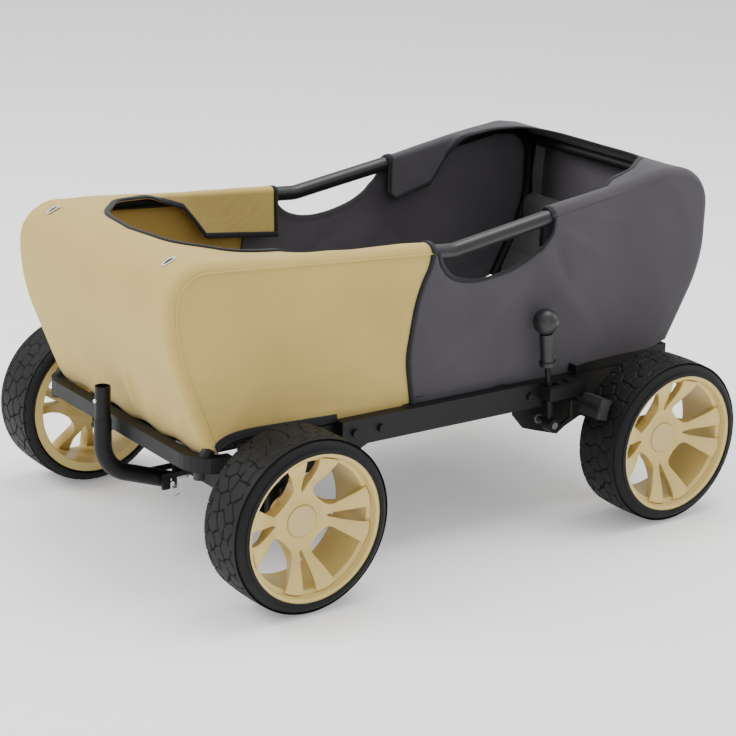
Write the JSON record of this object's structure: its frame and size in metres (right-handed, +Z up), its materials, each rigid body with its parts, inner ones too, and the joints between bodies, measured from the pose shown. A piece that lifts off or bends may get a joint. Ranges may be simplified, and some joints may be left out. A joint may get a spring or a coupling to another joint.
{
  "type": "pull wagon",
  "caption": "Children's pull wagon: fabric tub on tube hoops, broad moulded wheels, steered front axle with tow tube, rear hand brake",
  "frame": {"origin": "centre of the footprint, on the ground under the tyres", "axes": "+X the wagon's left, +Y its back (the tow tube is at -Y), +Z up"},
  "size_m": [0.76, 1.08, 0.5731],
  "materials": {
    "frame_paint": "black powder-coated steel, fine satin texture",
    "black_rubber": "black rubber",
    "floor_board": "grained black board",
    "zinc_plate": "zinc-plated steel",
    "axle_steel": "bright drawn steel",
    "bush_nylon": "grey nylon",
    "grip_foam": "smooth black foam rubber",
    "cloth_sand": "sand-coloured woven polyester",
    "cloth_grey": "charcoal-grey woven polyester",
    "cloth_lining": "olive-sand lining cloth",
    "cloth_black": "dark padded cloth",
    "webbing": "light grey woven webbing",
    "chrome_pin": "bright chrome plate",
    "knob_plastic": "black moulded plastic",
    "tyre_foam": "matt black moulded foam rubber",
    "rim_plastic": "sand-coloured moulded plastic",
    "cap_plastic": "sand-coloured moulded plastic, a shade darker"
  },
  "bodies": {
    "frame": {"side_rail_left": "frame_paint", "side_rail_right": "frame_paint", "front_arch_tubes": "frame_paint", "rear_arch_tubes": "frame_paint", "front_bumper": "frame_paint", "bumper_feet": "black_rubber", "cross_tubes": "frame_paint", "floor_panel": "floor_board", "side_plates": "frame_paint", "front_axle_beam": "frame_paint", "kingpin_brackets": "frame_paint", "steering_bolts": "zinc_plate", "rear_axle_beam": "frame_paint", "rear_axle": "axle_steel", "rear_axle_nuts": "axle_steel", "brake_bushes": "bush_nylon", "lever_box": "frame_paint", "frame_bolts": "frame_paint", "hoop_left": "frame_paint", "hoop_right": "frame_paint", "hoop_grips": "grip_foam", "top_bows": "frame_paint", "front_wrap_panel": "cloth_sand", "front_side_panel_left": "cloth_sand", "front_side_panel_right": "cloth_sand", "rear_wrap_panel": "cloth_grey", "rear_side_panel_left": "cloth_grey", "rear_side_panel_right": "cloth_grey", "inner_flaps": "cloth_lining", "backrest_pad": "cloth_black", "harness_straps": "webbing"},
    "steering_left": {"knuckle_left": "frame_paint"},
    "steering_right": {"knuckle_right": "frame_paint"},
    "swivel": {"tow_swivel": "frame_paint", "tow_pin": "chrome_pin"},
    "track": {"track_rod": "frame_paint"},
    "tow": {"tow_tube": "frame_paint"},
    "button": {"snap_button": "chrome_pin"},
    "brake": {"brake_shaft": "zinc_plate", "brake_lever": "frame_paint", "lever_grip": "knob_plastic", "lever_knob": "knob_plastic", "brake_arms": "frame_paint", "brake_pads": "black_rubber"},
    "wheel_front_left": {"tyre_front_left": "tyre_foam", "rim_front_left": "rim_plastic", "hub_cap_front_left": "cap_plastic", "bushes_front_left": "bush_nylon"},
    "wheel_front_right": {"tyre_front_right": "tyre_foam", "rim_front_right": "rim_plastic", "hub_cap_front_right": "cap_plastic", "bushes_front_right": "bush_nylon"},
    "wheel_rear_left": {"tyre_rear_left": "tyre_foam", "rim_rear_left": "rim_plastic", "hub_cap_rear_left": "cap_plastic", "bushes_rear_left": "bush_nylon"},
    "wheel_rear_right": {"tyre_rear_right": "tyre_foam", "rim_rear_right": "rim_plastic", "hub_cap_rear_right": "cap_plastic", "bushes_rear_right": "bush_nylon"}
  },
  "joints": [
    {"name": "tow_steer", "type": "hinge", "parent": "frame", "child": "swivel", "pos_m": [0, -0.368, 0.14], "axis": [0, 0, 1], "range_deg": [-15, 15]},
    {"name": "steer_left", "type": "hinge", "parent": "frame", "child": "steering_left", "pos_m": [0.262, -0.368, 0.14], "axis": [0, 0, 1], "range_deg": [-15, 15]},
    {"name": "steer_right", "type": "hinge", "parent": "frame", "child": "steering_right", "pos_m": [-0.262, -0.368, 0.14], "axis": [0, 0, 1], "range_deg": [-15, 15]},
    {"name": "track_rod_swing", "type": "hinge", "parent": "swivel", "child": "track", "pos_m": [0, -0.308, 0.105], "axis": [0, 0, 1], "range_deg": [-15, 15]},
    {"name": "tow_tilt", "type": "hinge", "parent": "swivel", "child": "tow", "pos_m": [0, -0.405, 0.104], "axis": [1, 0, 0], "range_deg": [0, 55]},
    {"name": "button_press", "type": "slide", "parent": "tow", "child": "button", "axis": [0, 1, 0], "range_m": [0, 0.0042], "stiffness_N_per_m": 500, "springref_m": -0.004},
    {"name": "brake_pull", "type": "hinge", "parent": "frame", "child": "brake", "pos_m": [0, 0.177, 0.176], "axis": [-1, 0, 0], "range_deg": [0, 9]},
    {"name": "wheel_front_left_spin", "type": "hinge", "parent": "steering_left", "child": "wheel_front_left", "pos_m": [0.329, -0.368, 0.14], "axis": [1, 0, 0], "continuous": true},
    {"name": "wheel_front_right_spin", "type": "hinge", "parent": "steering_right", "child": "wheel_front_right", "pos_m": [-0.329, -0.368, 0.14], "axis": [1, 0, 0], "continuous": true},
    {"name": "wheel_rear_left_spin", "type": "hinge", "parent": "frame", "child": "wheel_rear_left", "pos_m": [0.329, 0.368, 0.14], "axis": [1, 0, 0], "continuous": true},
    {"name": "wheel_rear_right_spin", "type": "hinge", "parent": "frame", "child": "wheel_rear_right", "pos_m": [-0.329, 0.368, 0.14], "axis": [1, 0, 0], "continuous": true}
  ],
  "couplings": [
    {"joint": "steer_left", "follows": "tow_steer", "ratio": 1},
    {"joint": "steer_right", "follows": "tow_steer", "ratio": 1},
    {"joint": "track_rod_swing", "follows": "tow_steer", "ratio": -1}
  ]
}
